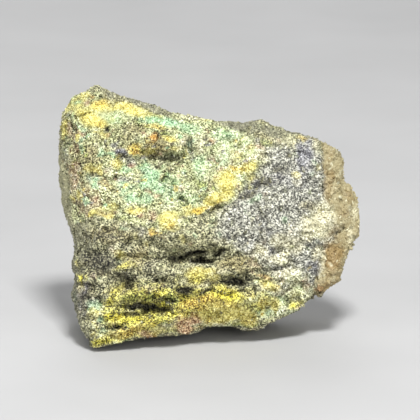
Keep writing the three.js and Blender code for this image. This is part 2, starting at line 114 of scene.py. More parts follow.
# Colour spots, from the top of the stone down:
# (across, up, half across, half up, turn in degrees, strength). In the lower band and along the bottom edge,
# the crust, pale and yellow spots are painted light as well as colour: they are paler there, which lights
# surfaces that turn down, away from the lamps.
SPOTS = {
    "crust": [
        (13, -9.4, 2.4, 1.4, 0, 0.6), (9.5, -13.2, 4.5, 1.9, 10, 1.1), (-16.6, -13.6, 1.5, 2.2, 0, 0.45),
        (2.5, -15.2, 3.6, 1.3, 0, 1), (-6, -16.8, 3.4, 0.9, 5, 0.9), (-14, -18, 2.6, 1, 8, 0.7),
    ],
    "moss": [
        (-1.6, -9, 2.4, 1, 0, 0.5), (2.6, -12, 5, 1.7, 0, 0.7), (-7.4, -12.4, 7.6, 2.8, 0, 1),
        (6, -13.4, 1.6, 1, 15, 0.4), (-13.4, -14.6, 2.4, 2.6, 0, 0.9), (-7, -16.2, 8, 1.5, 6, 0.8),
        (-12.4, -17.8, 3.8, 1, 8, 0.8),
    ],
    "pale": [
        (-13.6, 15.2, 2.2, 1, 0, 0.5), (-18, 15.2, 2, 1.4, 0, 0.3), (-1.6, 12.8, 1.6, 1.6, 0, 0.6),
        (3.4, 11, 2.6, 2.2, 0, 1.3), (6.4, 9.4, 1.8, 1.5, 0, 0.8), (-21.3, 8.6, 0.9, 2.4, 0, 0.7),
        (-1, 7, 2.6, 2.4, 0, 0.5), (4.4, 6.2, 2, 1.8, 0, 0.95), (2.6, 5.4, 1.8, 1.8, 40, 0.4),
        (-4.6, 3.8, 3.8, 2.2, -20, 0.62), (17, -0.8, 2, 2.4, 0, 0.45), (12.8, -9.2, 2.4, 1.2, 0, 0.4),
        (13.6, -11.4, 2.2, 1.2, 25, 0.6), (8.4, -12.8, 3.4, 1.3, 8, 0.6), (9.8, -13.2, 3.2, 1.7, 8, 1.15),
        (11.6, -13.8, 2.2, 1, 20, 0.95), (-14.6, -15.5, 1.2, 0.6, 0, 0.9), (2.8, -15.6, 3.4, 1, 0, 1.3),
        (-6.4, -16.6, 2.2, 0.6, 5, 0.5),
    ],
    "yellow": [
        (-19, 17.9, 1.8, 0.6, 25, 0.8), (-20.5, 16.5, 1.4, 0.7, 10, 0.9), (-15.8, 16.4, 1.6, 0.9, 0, 0.9),
        (-12, 16, 3, 0.7, -5, 1.25), (-9.2, 15.6, 2.2, 0.5, -8, 0.8), (-13.9, 14.8, 1.8, 0.9, 0, 0.4),
        (-17.5, 14.7, 2.6, 1.1, -25, 1.1), (0.5, 14.6, 2.6, 0.6, 0, 0.35), (-21.6, 13.8, 0.9, 2.2, 0, 0.75),
        (-15.8, 12.2, 1.4, 0.9, 0, 0.5), (-5.6, 12, 0.8, 0.5, 0, 1), (6.4, 10.8, 1.1, 0.8, 0, 0.55),
        (-19.4, 10.5, 1.2, 3, 0, 0.25), (-4.9, 10.4, 1.3, 0.4, -5, 0.5), (-8.8, 10.1, 1, 0.6, 0, 0.8),
        (4.6, 9, 2.6, 2.2, 0, 0.35), (-13.7, 7.6, 0.9, 0.7, 0, 0.8), (5.7, 7.4, 1.7, 1.1, 20, 0.9),
        (6.3, 6.2, 1, 0.9, 30, 0.5), (2.8, 5.2, 1.7, 1.6, 40, 1.3), (0.9, 2.8, 1.6, 1.1, 35, 1.3),
        (-10.8, 0.9, 1.4, 0.7, 5, 1), (-2, 0.8, 1.9, 0.5, 12, 0.9), (-6.1, -0.3, 1.6, 1.1, 10, 0.95),
        (-13.1, -5.6, 1.2, 0.7, 0, 0.8), (-19.9, -6.6, 0.7, 0.8, 0, 0.5), (-12.8, -7.4, 1.8, 0.5, 14, 0.5),
        (-1.3, -8.4, 2.3, 1, 5, 1.25), (0.7, -9.3, 1.1, 0.7, 0, 1), (9.2, -10.4, 1.9, 0.8, -10, 0.7),
        (2.8, -11.5, 2.4, 0.9, 0, 0.7), (12.6, -11.9, 2.2, 0.7, 10, 0.4), (9, -13, 2.4, 0.9, 0, 1),
        (2, -14.2, 3.6, 1.5, 0, 1.5), (-8, -15, 4.6, 0.7, 2, 0.35), (6.1, -15.1, 1.2, 1.2, 0, 1.5),
        (-14, -15.5, 1.3, 0.6, 0, 0.9), (2.2, -15.6, 3.2, 0.9, 0, 0.6), (-9.5, -16.2, 1.6, 0.6, 0, 0.8),
        (-11.2, -16.8, 2, 0.6, 10, 1.2), (-7.2, -16.9, 2.2, 0.6, 5, 0.7), (-13.2, -17.6, 2.8, 0.7, 8, 0.8),
    ],
    "sulphur": [
        (-12.6, -7.4, 2.2, 0.6, 14, 0.55), (-1.3, -8.8, 2.2, 0.8, 5, 0.55), (-19.1, -9.1, 0.8, 0.6, 0, 0.8),
        (8.7, -10, 2, 0.7, 0, 0.25), (-6.9, -11, 1.4, 0.7, 10, 0.7), (-10.5, -11.5, 2.2, 0.8, 10, 0.4),
        (2.8, -11.8, 2.6, 1.1, 0, 1), (-2, -11.8, 3.4, 1.2, 8, 0.55), (2.8, -11.9, 4.6, 1.4, 0, 0.6),
        (-14.3, -12.1, 2.4, 0.7, 52, 0.85), (9.4, -12.6, 3, 1.2, 5, 0.35), (13, -13.1, 1.2, 0.7, 25, 0.8),
        (6.9, -13.4, 1.6, 0.9, 0, 0.6), (-7, -14.2, 9.5, 1.7, 3, 0.55), (-5.4, -14.6, 1.8, 0.7, 5, 0.9),
        (2.2, -14.6, 2.8, 1, 0, 0.2), (-14, -15.1, 1.8, 0.8, 0, 1), (-10.4, -15.2, 5.4, 0.9, 2, 0.8),
        (-9.2, -15.4, 2.3, 0.9, 0, 0.9), (-15.7, -18.7, 1.8, 0.6, 8, 0.8),
    ],
    "gold": [
        (-16.2, 17, 1.3, 0.9, 0, 0.6), (-16.4, 14.1, 1.3, 0.8, -30, 0.5), (-7.2, 13.6, 2.2, 0.5, -5, 0.6),
        (14, 11.5, 1, 0.3, -20, 0.4), (-10.7, 10.5, 1, 0.8, 0, 0.8), (-15.4, 5, 1.4, 0.6, -10, 0.3),
        (1.3, 2, 0.8, 0.5, 35, 0.5), (-1.1, 0.9, 1.1, 0.4, 10, 0.9), (-5, -0.9, 0.9, 0.6, 30, 0.6),
        (-8.2, -2.2, 0.8, 0.6, 0, 1), (-1.2, -12.6, 2.6, 1, 0, 1), (1.2, -12.6, 1.4, 0.7, 0, 0.5),
        (3, -13.2, 1.6, 0.6, 0, 0.4), (-0.8, -13.4, 1.6, 0.9, 0, 0.8), (6.1, -15.1, 0.9, 1, 0, 0.5),
        (-13.2, -15.3, 0.8, 0.5, 0, 0.5), (-9.4, -15.5, 1.5, 0.6, 0, 0.6), (-11.7, -17, 2.2, 0.7, 14, 1),
    ],
    "orange": [
        (-17.3, 18, 0.5, 0.4, 0, 0.6), (-8, 11.8, 0.8, 0.6, 30, 1), (6.3, 10.9, 0.7, 0.5, 0, 0.25),
        (-10.4, 10.2, 0.5, 0.4, 0, 0.5), (-15, 4.9, 0.8, 0.4, 0, 0.4), (-8.4, -2.5, 0.4, 0.4, 0, 0.7),
        (8.8, -9.2, 1.4, 0.35, 0, 0.4), (-2.4, -12.9, 1.1, 0.6, 0, 0.45), (-11.6, -17.2, 0.9, 0.4, 0, 0.5),
    ],
    "mint": [
        (-19.9, 17.3, 0.7, 0.5, 0, 0.8), (-7.2, 14.6, 3.2, 0.8, -8, 1.1), (-13.7, 14.4, 1.5, 0.8, 0, 0.45),
        (-3.6, 13.8, 2.4, 0.8, -15, 0.8), (2.4, 11.9, 1.9, 0.9, -15, 0.5), (2, 8.8, 2.4, 1.8, 0, 0.3),
        (-9.4, 7.6, 1.4, 0.8, 0, 1), (-1, 7.4, 1.4, 1.8, 0, 0.7), (-8.8, 6, 1.4, 2, 0, 1),
        (-16.8, 5.8, 1.5, 2, 0, 0.3), (-12.2, 4.6, 1.5, 0.9, 0, 0.75), (-7.4, 4.3, 1.7, 1, -20, 0.9),
        (-5, 3.7, 3.4, 2.3, -20, 0.6), (-11.3, 3, 1.5, 0.8, 0, 0.75), (-9.4, 2.7, 1.5, 0.9, 0, 0.8),
        (-20, -6.2, 0.5, 0.8, 0, 0.5), (9.9, -12.6, 2.3, 1.1, 10, 0.55), (-17.1, -13.1, 1.1, 1, 0, 0.8),
        (8.8, -13.2, 1.6, 0.8, 0, 0.8), (5.2, -14.2, 1.2, 0.8, 0, 0.35), (1.6, -15, 1.6, 0.6, 0, 0.35),
        (-5.9, -16.7, 1.1, 0.6, 0, 0.25), (-16, -17.2, 0.9, 0.9, 0, 0.4),
    ],
    "teal": [
        (-5.8, 14.4, 1.4, 0.4, -12, 0.45), (-9.6, 7, 0.9, 0.6, 0, 0.45), (-16.4, -15.4, 0.5, 0.8, 0, 0.7),
    ],
    "green": [
        (-22, 12.4, 0.5, 1, 0, 0.5), (8.4, 11.2, 1.6, 0.8, 0, 0.4), (-17, 7.6, 1.4, 0.7, 0, 0.4),
        (-12.9, 7.5, 0.9, 0.6, 0, 0.5), (-1, 5.2, 0.6, 0.5, 0, 0.9), (-5.4, 5, 0.8, 0.6, 0, 0.8),
        (-3.8, 2.9, 0.9, 0.3, -10, 0.7), (-12.6, -0.6, 1.4, 0.4, 0, 0.5), (-10, -11.9, 3, 0.9, 5, 0.5),
        (-5.7, -12.6, 1.4, 0.7, 0, 0.9), (7.2, -13.9, 1.3, 0.9, 0, 0.45), (-8.6, -14.9, 1.2, 0.5, 0, 0.35),
        (10.1, -15.2, 2.2, 0.4, 20, 0.4), (-15.6, -15.9, 0.7, 0.5, 0, 0.7), (5.4, -16.2, 2.2, 0.5, 0, 0.9),
        (-17.2, -18.3, 1, 0.6, 0, 0.6),
    ],
    # Cream spots: mostly pale patches of the crust and the rock, but the small ones near the right edge of
    # the tan rim are painted glints and lit edges.
    "cream": [
        (-1.4, 15, 2.6, 0.5, -8, 0.8), (-3.6, 11.6, 0.6, 1, 0, 0.8), (11, 11.5, 2.4, 0.7, -15, 0.5),
        (-1, 11, 1.3, 2, 0, 0.5), (16.2, 10.8, 0.7, 1.1, 0, 0.5), (19.8, 9.6, 0.5, 0.5, 0, 0.5),
        (8, 9.2, 0.9, 1.3, 0, 0.8), (-21.3, 8.8, 0.7, 2.2, 0, 0.6), (3.4, 8.4, 3.6, 3, 0, 0.45),
        (20, 6.9, 0.35, 0.8, 0, 0.6), (-10.6, 6.4, 0.7, 0.6, 0, 0.6), (16.6, 5.4, 0.7, 3, 0, 0.4),
        (13.4, 5.3, 1.1, 1, 0, 0.7), (-5, 3.4, 4.5, 3, -20, 0.3), (-18.4, 2.4, 1.4, 2, 0, 0.3),
        (17.4, 2.4, 0.6, 1.4, 0, 0.5), (22.2, 0.5, 0.5, 1.6, 0, 0.5), (17, -0.8, 2, 2.7, 0, 1.25),
        (15.2, -1.5, 1.9, 1.9, 0, 1), (4.4, -2, 2.6, 1.2, 0, 0.3), (18.4, -2.4, 1.2, 1.2, 0, 0.7),
        (21.6, -2.6, 0.5, 1.3, 20, 0.55), (1.6, -3.6, 1.6, 1, 0, 0.6), (11.8, -4.2, 2.8, 2.2, 10, 0.75),
        (-13.9, -4.9, 1.1, 1.2, 0, 0.5), (7.7, -5, 1.6, 1.4, -20, 0.8), (16.2, -5.4, 0.8, 1.5, -15, 1),
        (10.4, -6.2, 2.1, 1, -10, 0.8), (17, -6.6, 0.6, 2, 0, 0.9), (-8.4, -6.9, 1.6, 0.8, 0, 0.35),
        (-12.2, -7.2, 2.2, 0.7, 12, 0.65), (18.3, -7.3, 0.4, 0.3, 0, 0.9), (2.4, -8, 1.6, 0.8, 0, 0.3),
        (12.6, -9, 2.4, 1.4, 0, 0.8), (13, -9.9, 1, 0.7, 0, 0.8), (10.6, -11.2, 1.2, 0.8, 0, 0.8),
        (13.4, -12.3, 2, 0.9, 25, 0.6), (9.6, -13, 2.6, 1, 0, 0.5), (9, -13.2, 1.2, 0.6, 0, 0.7),
        (1.6, -15.6, 2.8, 0.8, 0, 1), (-6.2, -16.2, 1.8, 0.6, 5, 0.9), (-7.6, -16.8, 0.9, 0.6, 0, 0.7),
    ],
    "mauve": [
        (-18.4, 17.2, 0.8, 0.5, 0, 0.6), (-4.9, 15, 0.7, 0.3, 0, 0.5), (-20.7, 13.2, 0.7, 1.5, 0, 0.75),
        (-19.5, 12, 1.2, 1.1, 0, 0.9), (0.9, 11.3, 0.7, 0.6, 0, 0.7), (-19.8, 10.6, 0.9, 1.6, 0, 0.6),
        (-13, 9.9, 1.4, 0.9, 0, 0.5), (0.4, 8.9, 0.9, 0.7, 0, 0.5), (-20.2, 6.6, 1, 2.6, 0, 0.75),
        (-6.9, 5.9, 0.8, 0.6, 0, 0.6), (-15.8, 5.2, 1.6, 0.8, 0, 0.4), (-18, 2.5, 2.2, 2.4, 0, 0.6),
        (-1, 2.5, 0.8, 0.7, 0, 0.4), (-10.4, 2.2, 1, 0.6, 0, 0.5), (-15.2, 0.7, 1.4, 0.8, 0, 0.7),
        (-8.9, 0.1, 1.5, 1, 0, 0.45), (6.9, -7.5, 1.6, 0.7, 0, 0.4), (-17.6, -9.1, 0.7, 0.4, 0, 0.8),
        (14.8, -10.2, 0.6, 0.8, 0, 0.6), (16.7, -10.8, 0.9, 0.6, 0, 0.6), (-19.6, -11, 0.8, 0.8, 0, 0.6),
    ],
    "rust": [
        (0.9, 11.5, 0.5, 0.6, 0, 0.5), (-19.5, 5.9, 0.8, 1.6, 0, 0.35), (16.6, -10.6, 0.9, 0.5, 0, 0.5),
        (8.6, -10.6, 1, 0.6, 0, 0.5), (-2.6, -15.5, 1.9, 1.3, 10, 1.4), (-1.8, -16, 1.2, 0.8, 0, 0.9),
        (-4, -16.7, 1.5, 0.7, 0, 1.1), (-9.2, -17.3, 1.3, 0.6, 5, 1),
    ],
    "violet": [
        (4.1, 13.4, 1.5, 0.5, -10, 0.8), (-14, 11, 0.7, 0.5, 0, 0.7), (-13.1, 9.6, 1.3, 0.9, 0, 1.1),
        (-2.2, 9.2, 0.6, 0.9, 0, 0.7), (14.4, 9, 1.3, 2.6, 0, 1.1), (-11.6, 8.6, 0.9, 1, 0, 0.7),
        (10, 5.9, 1.8, 0.9, 10, 0.7), (-12.3, 5.8, 1.1, 0.8, 0, 0.6), (13, 5.2, 2.4, 1.8, 0, 0.4),
        (7.2, 5.1, 0.9, 0.6, 20, 0.9), (-17.2, 5, 1.3, 1.2, 0, 0.5), (6.4, 4.2, 3.4, 1.1, 38, 0.5),
        (11, 3, 3.5, 2.2, 20, 0.3), (-10.6, -2, 2.2, 1.1, 0, 0.5), (8.4, -2, 3, 1.6, 20, 0.35),
        (16.6, -3.6, 0.7, 0.6, 0, 0.6), (4.6, -4, 4, 2, 0, 0.35), (9.5, -5.2, 1.1, 0.6, 0, 0.8),
        (-16.2, -7, 1.9, 1.4, 0, 0.4), (15.9, -7.8, 1, 1.1, 0, 0.8), (-12.6, -8.9, 1.8, 0.5, -15, 0.35),
        (12.4, -10.4, 1.2, 0.7, 0, 0.4), (-17.8, -12, 1.5, 1.5, 0, 0.6), (-19.3, -12.2, 1.5, 2.6, 0, 0.8),
    ],
    "umber": [
        (-14.8, 17.4, 3, 1, -20, 0.55), (-10.8, 13.3, 2, 1.2, 0, 0.8), (8.6, 12.2, 2, 0.8, -10, 0.4),
        (-7, 11.6, 2.8, 1.3, 0, 0.7), (-12.5, 11.5, 2.2, 1.9, 0, 0.65), (-14.8, 10.8, 1.2, 0.9, 0, 0.8),
        (-7.8, 10.2, 2.4, 1, 0, 1.3), (-13.4, 9.5, 1.5, 1.1, 0, 0.7), (-17.4, 8.4, 2.2, 3.6, 0, 0.8),
        (-5.8, 7.3, 1.8, 0.7, 0, 0.5), (-13.6, 4.4, 1.6, 0.7, 0, 0.7), (-12.8, 3.4, 1, 0.9, 0, 0.7),
        (15, 1.7, 1.2, 0.8, 0, 0.5), (-15.6, 0.6, 2, 0.8, 0, 0.7), (-14.8, -2.8, 3.8, 1.2, 0, 1.1),
        (-10.5, -6, 1.7, 1.8, -50, 0.9), (4, -7.2, 2.8, 1.4, 0, 1.1), (-17, -8.6, 1.7, 0.8, 0, 1),
        (9, -9.4, 1.9, 0.8, 0, 0.5), (-1, -9.9, 2.2, 0.5, 0, 0.8), (-10.5, -10.7, 4.6, 0.6, 0, 0.8),
        (2.6, -10.9, 2.6, 0.5, 0, 0.5), (-12.5, -11.1, 3, 0.6, 0, 0.8), (-19, -11.4, 2.4, 2, 0, 0.7),
        (6, -11.5, 1.2, 0.6, 0, 0.6), (-9.6, -12.6, 3.4, 0.5, 5, 0.5), (-3.6, -13.5, 0.9, 0.6, 0, 1),
        (-16.6, -18.2, 1.2, 0.6, 0, 0.4),
    ],
    # Dark spots: some are dark patches of the rock, but many are painted shade: inside the cuts and notches,
    # under the block and under the brow at the left, along the step below the crust's lower edge, and broadly
    # over the undersides of the lower ledges.
    "dark": [
        (-19, 15.3, 1.4, 0.2, 18, 0.6), (-20.4, 13.9, 0.25, 1.7, 12, 0.45), (-15.2, 13.1, 0.5, 0.5, 0, 0.9),
        (13.2, 12.3, 1.2, 0.25, -20, 0.8), (-11, 12.2, 0.8, 0.5, 0, 0.5), (-2.7, 10.8, 0.6, 1.5, 3, 0.75),
        (-12.4, 9.1, 0.9, 0.7, 0, 0.7), (0.4, 8.9, 0.8, 0.7, 0, 0.45), (-11.4, 8.8, 0.8, 0.9, 0, 0.65),
        (-7.4, 8.7, 4.6, 0.8, -2, 0.56), (3, 7.2, 0.3, 0.5, 0, 0.6), (10.6, 7, 2.4, 1.1, 25, 0.66),
        (10, 5.9, 1.8, 0.8, 10, 0.6), (-14, 5.9, 0.5, 0.4, 0, 0.8), (8.1, 5.2, 1.8, 0.8, 40, 0.72),
        (-13.6, 4.3, 1.2, 0.5, 0, 0.3), (5.2, 2.8, 2.8, 0.9, 36, 0.72), (-3.9, 2.7, 0.9, 0.3, -5, 0.7),
        (14.8, 1.6, 1.2, 0.6, 0, 0.45), (1, 1.4, 2, 0.3, 32, 0.6), (19.7, -2.1, 1.4, 0.2, 35, 0.6),
        (-14.6, -2.7, 3.8, 1.2, 0, 0.6), (0.2, -4.4, 0.8, 0.25, 0, 0.5), (-11.6, -4.6, 1.8, 0.7, -30, 0.6),
        (15.7, -5.3, 1, 0.2, 35, 0.7), (-10.5, -6.2, 1.4, 1.2, -50, 0.35), (-6.2, -6.2, 3.8, 0.22, 2, 0.5),
        (-16.6, -6.6, 2.5, 1.6, 0, 1.1), (12.9, -6.8, 0.6, 0.4, 0, 0.6), (4.2, -7.2, 2.6, 1.2, 0, 0.3),
        (-9, -7.6, 1, 1.7, 0, 0.75), (-17.2, -8.8, 1.6, 0.7, 0, 0.85), (-12.6, -9, 1.6, 0.4, -15, 0.5),
        (3.6, -9.6, 2.6, 0.9, 0, 0.65), (-7.4, -9.6, 1, 0.2, 0, 0.6), (-13.6, -9.8, 6, 1.3, 0, 0.35),
        (-12.2, -10.2, 0.7, 0.6, 0, 0.6), (5.1, -10.2, 0.6, 0.4, 0, 0.7), (-5.8, -10.5, 1.3, 0.5, 0, 0.7),
        (-3.6, -10.9, 1.1, 0.5, -10, 1), (-0.3, -11, 1, 0.3, 0, 0.6), (16.3, -11.7, 0.6, 0.4, 0, 1),
        (-19.2, -12, 1.9, 2.2, 0, 0.36), (-5.9, -12.3, 1.6, 0.6, 0, 0.3), (-5.7, -12.7, 1, 0.4, 0, 0.5),
        (-9, -12.8, 3.6, 0.9, 0, 0.15), (-11.7, -14.6, 1, 0.6, 0, 0.8), (-13.9, -16.6, 1.8, 0.25, 3, 0.6),
        (4.8, -16.8, 1.2, 0.25, 0, 0.7), (-11, -18.2, 0.8, 0.25, 0, 0.9),
    ],
    "rim_grey": [
        (-16.2, 19.6, 1, 0.5, 0, 0.4), (-14.7, 18.5, 1.3, 0.8, -35, 0.8), (-10.5, 17.2, 5.2, 0.6, -20, 0.9),
        (4.6, 13.7, 2.8, 0.7, -5, 1.3), (9.4, 13, 3, 0.7, -15, 0.8), (14, 12.2, 2.6, 0.4, -22, 0.6),
        (-15.2, 0.7, 1.5, 0.8, 0, 0.5),
    ],
    "amber": [
        (18.4, 8.8, 0.7, 1.4, 0, 0.5), (18.6, 6.6, 0.8, 1.2, 0, 0.6), (17.9, 4.6, 0.8, 3.6, 0, 0.75),
        (21.2, 3.4, 0.9, 1.3, 0, 0.5), (20.2, 1, 0.9, 1.2, 0, 0.5), (18.4, -2.2, 1.1, 0.8, 0, 1),
        (20.9, -3, 1, 1.4, 0, 0.4), (18.6, -5.8, 1.6, 2.9, -20, 1.2), (19.4, -8.2, 0.9, 1.4, 0, 0.6),
        (17.6, -10.4, 1.8, 1, 30, 0.8),
    ],
}

# Colours that turn up in small patches all over the crust: the share that they cover, and how wide the
# patches are.
SCATTER = {
    "yellow": (0.1, 2.6), "mint": (0.12, 2.2), "green": (0.08, 1.3), "mauve": (0.12, 1.9),
    "gold": (0.04, 1.4), "dark": (0.14, 0.7), "violet": (0.06, 1.6), "umber": (0.12, 2.0),
    "cream": (0.08, 1.8), "pale": (0.12, 1.6),
}

# Narrow cuts in and beside the broad clefts of the solid, from the top down:
# (across, up, half length, half height, turn in degrees, depth in mm).
CUTS = [
    (-19, 15.3, 1.5, 0.15, 18, 0.7), (-20.4, 13.9, 0.18, 1.9, 12, 0.7), (-15.2, 13.1, 0.4, 0.5, 0, 0.8),
    (-2.8, 10.7, 0.3, 1.7, 3, 1), (-8.6, 9.3, 2.2, 0.4, -12, 0.9), (-12.2, 9.1, 0.6, 0.4, 0, 0.5),
    (-5.4, 8.9, 2, 0.5, 8, 0.9), (0.4, 8.9, 0.7, 0.6, 0, 0.45), (17.1, 7, 0.2, 4.2, 0, 0.6),
    (-14, 5.9, 0.45, 0.35, 0, 0.8), (-3.8, 2.7, 1, 0.22, -5, 1), (1.2, 1.3, 2, 0.2, 30, 0.6),
    (19.7, -2.1, 1.7, 0.12, 38, 0.7), (0.2, -4.4, 0.9, 0.2, 10, 0.8), (1.9, -5.2, 1.1, 0.35, 30, 1.4),
    (15.7, -5.3, 1.2, 0.14, 35, 0.8), (-2, -5.4, 1.8, 0.32, 12, 2.8), (-3.4, -5.8, 3.2, 0.18, 11, 2.1),
    (-7.9, -6.2, 2.6, 0.14, -2, 1), (0.6, -6.5, 1.1, 0.3, 12, 1.5), (-1.2, -6.6, 1.4, 0.6, 0, 2.7),
    (12.9, -6.8, 0.6, 0.35, 0, 0.5), (16.4, -8.4, 0.25, 2.6, -10, 0.7), (-12.8, -8.9, 1.8, 0.28, -15, 1.3),
    (-7.2, -9.5, 1.3, 0.16, -4, 1.2), (6.9, -9.5, 1.8, 0.18, 0, 1), (3.4, -9.6, 2.3, 0.4, -6, 1.7),
    (-12.2, -10.2, 0.7, 0.4, 30, 0.9), (-18.3, -10.2, 1.4, 0.16, 8, 0.8), (-3.6, -10.9, 1.5, 0.5, -12, 1.4),
    (9.5, -10.9, 1.6, 0.18, -8, 0.8), (-0.3, -11, 1.1, 0.25, 0, 1.3), (16.3, -11.7, 0.8, 0.4, 20, 1.8),
    (-5.6, -12.6, 1, 0.3, -5, 1.4), (-9.7, -13.5, 3.3, 0.58, -2, 2.6), (-6.6, -13.9, 1.6, 0.4, -6, 1.6),
    (-13.9, -16.6, 1.9, 0.22, 3, 1.4), (-17.8, -16.9, 1.2, 0.16, -30, 0.8),
]

# Small blocks that stand out of the broken face, laid out like the cuts: the last value is their rise.
KNOBS = [
    (-5.9, 10.6, 2.2, 1, -5, 0.4), (-9.6, 8.7, 0.9, 0.5, 20, 0.6), (-4.3, 8.7, 0.6, 0.4, 10, 0.5),
    (-6.4, 8.3, 0.7, 0.4, -15, 0.6), (8.4, -6.2, 2.6, 1, -8, 0.4), (-19.9, -6.7, 0.8, 0.8, 0, 0.5),
    (-12.4, -7.3, 2.1, 1, 14, 0.5), (-1.2, -8.7, 2.3, 1.1, 4, 0.7), (-19.4, -9.2, 0.8, 0.5, 0, 0.5),
    (3, -11.9, 2.8, 0.9, 0, 0.35), (-13.6, -15.2, 2.2, 0.9, 0, 0.45), (-7.2, -15.2, 3.4, 0.8, 3, 0.5),
]

# Spots where the surface is smooth and its grain faint, laid out like the colour spots.
SMOOTH_SPOTS = [
    (-12, 16, 3.6, 0.9, -8, 0.5), (-16.4, 15.7, 4.8, 2.2, -20, 0.85), (-5.2, 14.3, 4.6, 0.9, -10, 0.35),
    (3, 4.6, 2.4, 1.8, 40, 0.3), (-6.2, -0.2, 1.8, 1.2, 0, 0.3), (16.8, -1.2, 2.2, 1.7, 0, 0.5),
    (3.4, -14.2, 3, 1.4, 0, 0.4),
]

# Ledges: their height, how much they stand out, how much they climb to the right, how unevenly they
# run, and the share of their height that the lip takes.
LEDGES = {"height": 2.7, "proud": 1.0, "climb": 0.1, "wander": 0.55, "lip": 0.14}

# Chips of the broken rock, each of which leans its own way: (width, rise) in millimetres.
CHIPS = [(3.4, 0.4), (1.7, 0.17)]

# Uneven swells that roughen every surface: (width, height) in millimetres.
SWELLS = [(4.2, 0.3), (2.0, 0.2), (1.0, 0.11), (0.55, 0.09)]

# Pits in every surface and lumps in the lower band, in millimetres.
PITS = {"width": 0.9, "depth": 0.4}
LUMPS = {"width": 1.5, "height": 0.25}

# How far the crust stands out past the rock, and the quartz stands back from it, in millimetres.
CRUST_RISE = 0.35
QUARTZ_DROP = 0.3

# What the tone of a grain depends on: how wide each thing is, in millimetres, and its share. The relief share
# is painted shade and light: low places of the surface darker, high ones lighter.
GRAIN_WIDTH = {"single": 0.19, "fine": 0.14, "patchy": 1.3}
GRAIN_SHARE = {"single": 0.76, "fine": 1.65, "patchy": 0.08, "relief": 0.07}
TONE_STOPS = (0.2, 0.5, 0.82)  # where the dark, middle and light tones of each colour lie

# The swells that break up the edges of each colour: their width in millimetres and their share.
EDGES = {"width": 1.9, "share": 1.2}

# The fine grain is drawn out by this much, in this direction on the main face, in degrees.
BRUSHED = (2.4, -30)

# Soft lights: place and size in metres, and power in watts.
LIGHTS = {
    "key": ((0.06, -0.27, 0.52), 0.12, 4.2),
    "fill_left": ((-0.5, -0.4, 0.22), 0.5, 1.6),
    "fill_right": ((0.3, -0.6, 0.12), 0.5, 2.5),
    "back": ((-0.1, 0.55, 0.45), 0.5, 1.8),
}
LIGHTS_AIM = np.array([0.0, 0.0, 4.0])  # the point that they aim at, from the middle of the face, in mm
BACKDROP = {"colour": (0.97, 0.98, 1.0, 1), "strength": 0.24}


def smoothstep(value, start, end):
    share = np.clip((value - start) / (end - start), 0, 1)
    return share * share * (3 - 2 * share)


def ray_reach(outline, angle):
    """How far from the middle of the face a closed outline lies in that direction, in millimetres."""
    across, up = math.cos(angle), math.sin(angle)
    reach = 0.0
    for (ax, ay), (bx, by) in zip(outline, outline[1:] + outline[:1]):
        side_a = across * ay - up * ax
        side_b = across * by - up * bx
        if (side_a <= 0) == (side_b <= 0):
            continue
        share = side_a / (side_a - side_b)
        reach = max(reach, across * (ax + share * (bx - ax)) + up * (ay + share * (by - ay)))
    return reach


def swell(points, width, seed, octaves=2):
    """Soft noise of about -1 to 1 at points in millimetres; width is the size of its largest swells."""
    places = (points / width + seed).tolist()
    return np.array([noise.fractal(p, 1.0, 2.0, octaves, noise_basis="PERLIN_ORIGINAL") for p in places])


def to_face(points):
    """Points of the scene, in metres, in the axes of the main face, in millimetres."""
    return (points - FACE_ORIGIN) @ FACE_AXES.T / MM


def to_scene(points):
    """Points of the main face, in millimetres, back in the scene, in metres."""
    return points * MM @ FACE_AXES + FACE_ORIGIN


def as_seen(points):
    """Points of the main face with their across and up as the camera draws them."""
    away = CAMERA_DISTANCE + VIEW_MIDDLE[2] - points[:, 2:]
    larger = LAYOUT_WIDTH / VIEW_WIDTH * CAMERA_DISTANCE / away
    seen = points.copy()
    seen[:, :2] = VIEW_MIDDLE[:2] + (points[:, :2] - VIEW_MIDDLE[:2]) * larger
    return seen


def vertex_places(mesh):
    places = np.empty(len(mesh.vertices) * 3)
    mesh.vertices.foreach_get("co", places)
    return places.reshape(-1, 3)


def vertex_normals(mesh):
    normals = np.empty(len(mesh.vertices) * 3)
    mesh.vertices.foreach_get("normal", normals)
    return normals.reshape(-1, 3)


def face_origin(mesh):
    """Where the middle of the main face's outline lies in the scene."""
    along = vertex_places(mesh) @ FACE_AXES.T
    middle = (along.min(axis=0) + along.max(axis=0)) / 2
    middle[2] = along[:, 2].max() - FRONT_OUT * MM
    return middle @ FACE_AXES


def evenly_meshed(mesh, voxel, smoothing):
    """The same closed shape in even faces of that size, its corners smoothed that many times."""
    carrier = bpy.data.objects.new("carrier", mesh)
    bpy.context.scene.collection.objects.link(carrier)
    grid = carrier.modifiers.new("Grid", "REMESH")
    grid.mode = "VOXEL"
    grid.voxel_size = voxel * MM
    soften = carrier.modifiers.new("Soften", "SMOOTH")
    soften.factor = 0.5
    soften.iterations = smoothing
    depsgraph = bpy.context.evaluated_depsgraph_get()
    made = bpy.data.meshes.new_from_object(carrier.evaluated_get(depsgraph))
    bpy.data.objects.remove(carrier)
    return made


def around(place, across, up):
    """How far points lie from a spot's middle along and athwart it, as shares of its half sizes."""
    middle_across, middle_up, half_along, half_athwart, turn = place
    c = math.cos(math.radians(turn))
    s = math.sin(math.radians(turn))
    along = ((across - middle_across) * c + (up - middle_up) * s) / half_along
    athwart = ((up - middle_up) * c - (across - middle_across) * s) / half_athwart
    return along, athwart


def spot_cover(spots, across, up):
    """How strongly spots cover each point, from 0 to 1, fading out past their half sizes."""
    cover = np.zeros_like(across)
    for *place, strength in spots:
        along, athwart = around(place, across, up)
        cover = np.maximum(cover, strength * np.exp(-0.7 * (along**2 + athwart**2) ** 1.5))
    return cover


